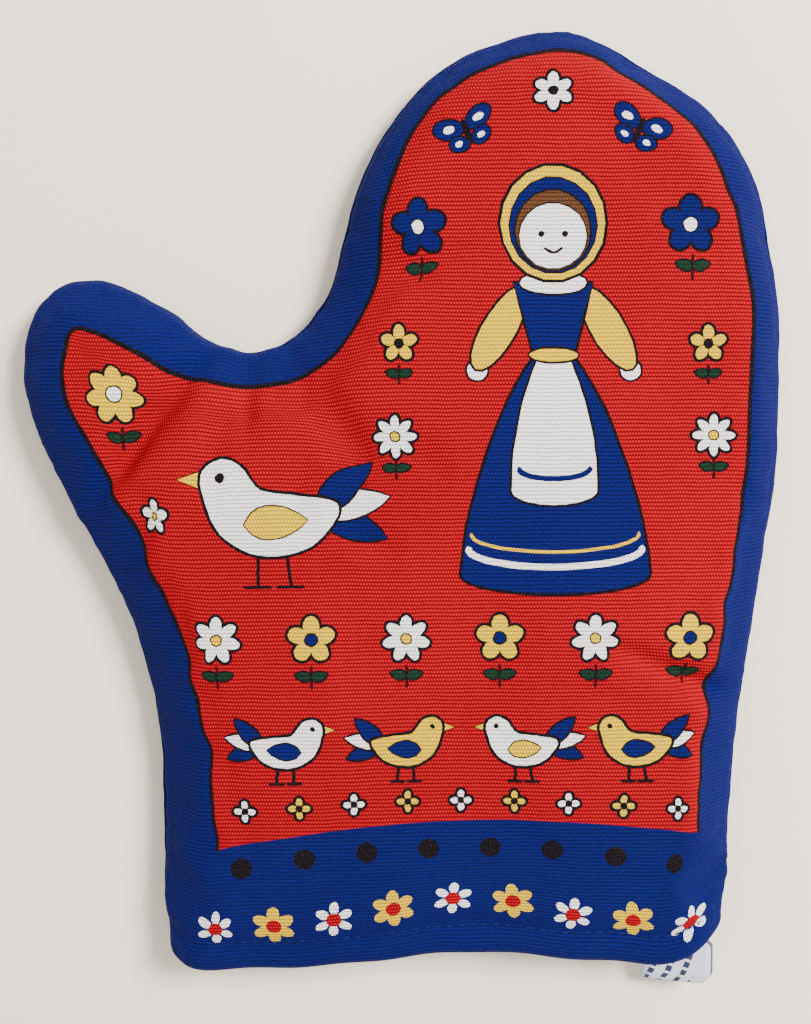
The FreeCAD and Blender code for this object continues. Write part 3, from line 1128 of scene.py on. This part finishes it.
art = paint()
front_canvas = layer("front_canvas", 1, FLAP_Y, even(0.0), even(CANVAS), ink_materials, 2.0,
                     [0.5, 1.0, 1.6, 2.4, 3.4, 4.6, 6.2, 8.2], art.shapes, 3.4)
back_canvas = layer("back_canvas", -1, FLAP_Y, even(0.0), even(CANVAS), [plain_blue], 2.2,
                    [0.5, 1.0, 1.7, 2.6, 3.8, 5.2, 7.0], (), 3.4)
front_wadding, back_wadding = (
    layer(half + "_wadding", side, ROLL_Y + 0.5, even(WADDING_OUT), tucked(WADDING_IN),
          [wadding_white], 3.6, INNER_RINGS) for half, side in HALVES)
front_lining, back_lining = (
    layer(half + "_lining_cotton", side, ROLL_Y + 0.8, tucked(LINING_OUT), tucked(LINING_IN),
          [cotton_cream], 3.0, INNER_RINGS) for half, side in HALVES)

# Sewing thread, mm
THREAD_RADIUS = 0.26
THREAD_SIDES = 6
STITCH = 2.5            # length of the hem's stitches
STITCH_GAP = 0.8
STITCH_SINK = np.array([0.42, 0.08, 0, 0, 0.08, 0.42])[:, None]     # their ends go into the cloth
HEM_END_GAP = 1.2       # from a row's ends to the seam
SEAM_PITCH = 3.0
SEAM_DEPTH = 2.0        # of the seam's thread, inside the fold


def tube(points, radius):
    """A closed tube along points, with drawn-in ends, as points and faces."""
    p = np.array(points, float)
    along = np.gradient(p, axis=0)
    along /= np.linalg.norm(along, axis=1)[:, None]
    up = np.array([0.0, 0.0, 1.0])
    sides = THREAD_SIDES
    rings = []
    last = len(p) - 1
    for i in range(len(p)):
        side = np.cross(along[i], up)
        side /= np.linalg.norm(side) + 1e-9
        rise = np.cross(side, along[i])
        size = radius * (0.55 if i in (0, last) else 1.0)
        for k in range(sides):
            a = math.tau * k / sides
            rings.append(p[i] + size * (math.cos(a) * side + math.sin(a) * rise))
    faces = [tuple(range(sides))[::-1], tuple(range(last * sides, last * sides + sides))]
    for i in range(last):
        for k in range(sides):
            a = i * sides + k
            b = i * sides + (k + 1) % sides
            faces.append((a, b, b + sides, a + sides))
    return np.array(rings), faces


def lengths(path):
    """How far along a path each of its points is."""
    return np.concatenate([[0], np.cumsum(np.linalg.norm(np.diff(path, axis=0), axis=1))])


def along_path(path, run, at):
    """The points of a path at some distances along it, where run is its lengths."""
    return np.column_stack([np.interp(at, run, path[:, k]) for k in range(3)])


def stitch_row(side, flat_y):
    """Stitches across the mitt's width on the outer surface or the turned-up hem."""
    x = np.linspace(crossing(ROLL_Y, -1) + HEM_END_GAP, crossing(ROLL_Y, 1) - HEM_END_GAP, 1200)
    place, facing = FORM.surface(side, x, np.full(len(x), flat_y), np.full(len(x), -0.04))
    run = lengths(place)
    count = int(run[-1] / (STITCH + STITCH_GAP))
    pitch = run[-1] / count
    rows = []
    for i in range(count):
        start = i * pitch + STITCH_GAP / 2
        at = np.linspace(start, start + pitch - STITCH_GAP, len(STITCH_SINK))
        line = along_path(place, run, at) - along_path(facing, run, at) * STITCH_SINK
        tilt = 0.10 * math.sin(2.4 * i + side)
        line[:, 1] += np.linspace(-tilt, tilt, len(STITCH_SINK)) + 0.12 * math.sin(0.7 * i)
        rows.append(tube(line, THREAD_RADIUS))
    return rows


def joined(name, parts, material):
    """One piece from several tubes, given in mm."""
    points = []
    faces = []
    for part_points, part_faces in parts:
        faces += [tuple(i + len(points) for i in f) for f in part_faces]
        points += (part_points * MM).tolist()
    return solid_piece(name, points, faces, [material])


def seam_thread():
    """The stitches that close the side seam, inside the fold where the two canvases meet."""
    line = kept_run(SEAM_LINE, SEAM_LINE[:, 1] > ROLL_Y + 1)
    place, _ = FORM.surface(1, line[:, 0], line[:, 1], np.full(len(line), SEAM_DEPTH))
    run = lengths(place)
    count = int(run[-1] / SEAM_PITCH)
    stitches = []
    for i in range(count):
        at = np.linspace((i + 0.1) * run[-1] / count, (i + 0.9) * run[-1] / count, 4)
        stitches.append(tube(along_path(place, run, at), THREAD_RADIUS))
    return joined("seam_thread", stitches, thread_navy)


def label_thread():
    """Stitches from the lining's side wall through the label's root, inside the cuff."""
    x = np.linspace(label_high.x / MM - 0.9, label_high.x / MM + 2.4, 4)
    z = np.array([10.5, 11.35, 11.5, 11.1])
    stitches = []
    for i in range(LABEL_STITCHES):
        y = np.full(len(z), label_high.y / MM + 0.4 - LABEL_STITCH_PITCH * i)
        stitches.append(tube(np.column_stack([x, y, z]), 0.24))
    return joined("label_thread", stitches, thread_white)


# The care label: a ribbon folded into a loop, with its two ends caught in the side seam, mm
LABEL_STITCHES = 5
LABEL_STITCH_PITCH = 0.85
LABEL_THICK = 0.3
LABEL_RIBBON = (label_high.y - label_low.y) / MM      # the ribbon's width
LABEL_RAISE = 1.6       # its lower edge hangs a little less far than the CAD part's
LABEL_ROOT_X = label_high.x / MM - 0.1
LABEL_ROOT_Z = 11.0
LABEL_DROP = math.radians(13)
LABEL_FOLD = 1.05       # half the fold's height
LABEL_REACH = 15.0      # from the root to where the fold starts


def label_side(v):
    """Side view of the folded ribbon at a share v of its width: distance from the root, height."""
    lift = 0.05 * math.sin(3.0 * v + 0.4)
    line = []
    for u in np.linspace(0, LABEL_REACH, 12):
        bulge = 0.25 * math.sin(math.pi * u / LABEL_REACH) * (1 + 0.4 * math.sin(2 * v))
        line.append((u, -0.1 + bulge + lift * (u / LABEL_REACH) ** 2))
    for a in np.linspace(math.pi / 2, -math.pi / 2, 9)[1:-1]:
        line.append((LABEL_REACH + LABEL_FOLD * math.cos(a) * 0.9,
                     -LABEL_FOLD - 0.1 + LABEL_FOLD * math.sin(a) + lift))
    for u in np.linspace(LABEL_REACH, 0, 12):
        spread = -2 * LABEL_FOLD * (u / LABEL_REACH) ** 0.8
        line.append((u - 0.6 * (1 - u / LABEL_REACH), spread - 0.2 + lift * (u / LABEL_REACH) ** 2))
    return line


def label_point(u, w, v, share):
    """The place of point (u, w) of the side view, where share says how far along the ribbon
    it is. The lower corner bends down and the lower edge flares to the right."""
    x = LABEL_ROOT_X - u * math.cos(LABEL_DROP) + w * math.sin(LABEL_DROP)
    z = LABEL_ROOT_Z - u * math.sin(LABEL_DROP) + w * math.cos(LABEL_DROP)
    skew = 0.8 * step(0.3, 0.6, share)
    corner = (1 - step(-0.05, 0.17, v)) / (1 - step(-0.05, 0.17, 0.0))
    flare = 4.0 * (1 - step(0.54, 0.73, v)) * (1 - 0.75 * u / LABEL_REACH)
    y = label_low.y / MM + LABEL_RAISE + LABEL_RIBBON * v + skew
    return (x + flare * (1 - 0.4 * corner)) * MM, y * MM, (z - 1.5 * corner) * MM


def label_piece():
    across = np.linspace(0, 1, 31)
    rows = np.array([label_side(v) for v in across])
    along = np.gradient(rows, axis=1)
    along /= np.linalg.norm(along, axis=2)[:, :, None]
    out = np.stack([-along[:, :, 1], along[:, :, 0]], axis=2) * LABEL_THICK / 2
    run = np.array([lengths(row) for row in rows])
    deep, wide = run.shape
    points = []
    weave = []
    # face 1 is the printed front; face 0 gets the painted shade
    for sheet, face in ((rows + out, 1.0), (rows - out, 0.0)):
        for j, v in enumerate(across):
            for i in range(wide):
                points.append(label_point(*sheet[j, i], v, run[j, i] / run[j, -1]))
                weave.append((run[j, i], LABEL_RIBBON * v, face))
    shift = deep * wide
    faces = []
    for j in range(deep - 1):
        for i in range(wide - 1):
            a = j * wide + i
            quad = (a, a + 1, a + 1 + wide, a + wide)
            faces.append(quad)
            faces.append(tuple(k + shift for k in quad[::-1]))
    # the rim joins both faces, once round the grid
    ring = list(range(wide)) + [j * wide + wide - 1 for j in range(1, deep)]
    ring += [(deep - 1) * wide + i for i in range(wide - 2, -1, -1)]
    ring += [j * wide for j in range(deep - 2, 0, -1)]
    for a, b in zip(ring, ring[1:] + ring[:1]):
        faces.append((b, a, a + shift, b + shift))
    return solid_piece("care_label_ribbon", points, faces, [label_satin], weave=weave)


inner_stitch_y = ROLL_Y - ROLL_LENGTH - (HEM_STITCH_Y - ROLL_Y)
hem_stitches = []
for side in (1, -1):
    hem_stitches += stitch_row(side, HEM_STITCH_Y)
    hem_stitches += stitch_row(side, inner_stitch_y)
hem_thread = joined("hem_topstitching", hem_stitches, thread_navy)
side_thread = seam_thread()
root_thread = label_thread()
label_ribbon = label_piece()


# ---------------------------------------------------------------- each piece on its body, with its CAD part hidden

for piece, node, slot in (
        (front_canvas, "front_shell", "printed_canvas"), (back_canvas, "back_shell", "plain_canvas"),
        (front_wadding, "front_batting", "wadding"), (back_wadding, "back_batting", "wadding"),
        (front_lining, "front_lining", "lining_cotton"), (back_lining, "back_lining", "lining_cotton"),
        (hem_thread, "cuff_hem_stitching", "thread"), (side_thread, "side_seam_stitching", "thread"),
        (root_thread, "label_stitching", "thread")):
    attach(piece, "mitt")
    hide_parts(node)
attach(label_ribbon, "label")
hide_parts("care_label")


# ---------------------------------------------------------------- floor, light and camera

FLOOR_HALF = 12.0       # metres
CAMERA_AIM = Vector((0.0, 0.003, 0.0))
CAMERA_AWAY = 0.354
CAMERA_LEAN = math.radians(3.7)         # back from straight overhead
CAMERA_ROLL = math.radians(-0.46)
SENSOR = 24.0
FOCAL = 1200 / 1024     # focal length, as a share of the picture's height


def floor():
    s = Shade("floor_pale", 0.7, specular=0.2)
    cloudy = s.noise(s.spot(), 2.2, 2.0)
    material = s.finish(s.blend(cloudy, linear(244, 231, 209), linear(248, 238, 220)))
    corners = [(x * FLOOR_HALF, y * FLOOR_HALF, 0) for x, y in ((-1, -1), (1, -1), (1, 1), (-1, 1))]
    piece = solid_piece("floor", corners, [(0, 1, 2, 3)], [material])


def soft_light(name, place, power, size, colour):
    """A round lamp that looks at the mitt's middle."""
    lamp = bpy.data.lights.new(name, "AREA")
    lamp.shape = "DISK"
    lamp.size = size
    lamp.energy = power
    lamp.color = colour
    item = bpy.data.objects.new(name, lamp)
    item.location = place
    item.rotation_euler = (-Vector(place)).to_track_quat("-Z", "Y").to_euler()
    bpy.context.scene.collection.objects.link(item)


def look():
    """The camera: nearly overhead, leaning back a little, with a slight roll."""
    back = Vector((0.0, math.sin(CAMERA_LEAN), math.cos(CAMERA_LEAN)))
    level = Vector((1, 0, 0))
    upright = back.cross(level)
    right = level * math.cos(CAMERA_ROLL) + upright * math.sin(CAMERA_ROLL)
    up = -level * math.sin(CAMERA_ROLL) + upright * math.cos(CAMERA_ROLL)
    place = CAMERA_AIM + back * CAMERA_AWAY
    camera = bpy.data.cameras.new("camera")
    camera.sensor_fit = "VERTICAL"
    camera.sensor_height = SENSOR
    camera.lens = SENSOR * FOCAL
    camera.clip_start = 0.01
    item = bpy.data.objects.new("camera", camera)
    item.matrix_world = Matrix([*zip(right, up, back, place), (0, 0, 0, 1)])
    bpy.context.scene.collection.objects.link(item)
    bpy.context.scene.camera = item


floor()
soft_light("key", (0.75, 0.45, 0.95), 42.0, 0.5, (1.0, 0.985, 0.96))
soft_light("fill", (-0.9, -0.2, 1.1), 5.0, 1.2, (0.95, 0.97, 1.0))
world = bpy.data.worlds.new("studio")
world.use_nodes = True
background = world.node_tree.nodes["Background"]
background.inputs["Color"].default_value = (1.0, 0.985, 0.965, 1)
background.inputs["Strength"].default_value = 0.88
bpy.context.scene.world = world
look()
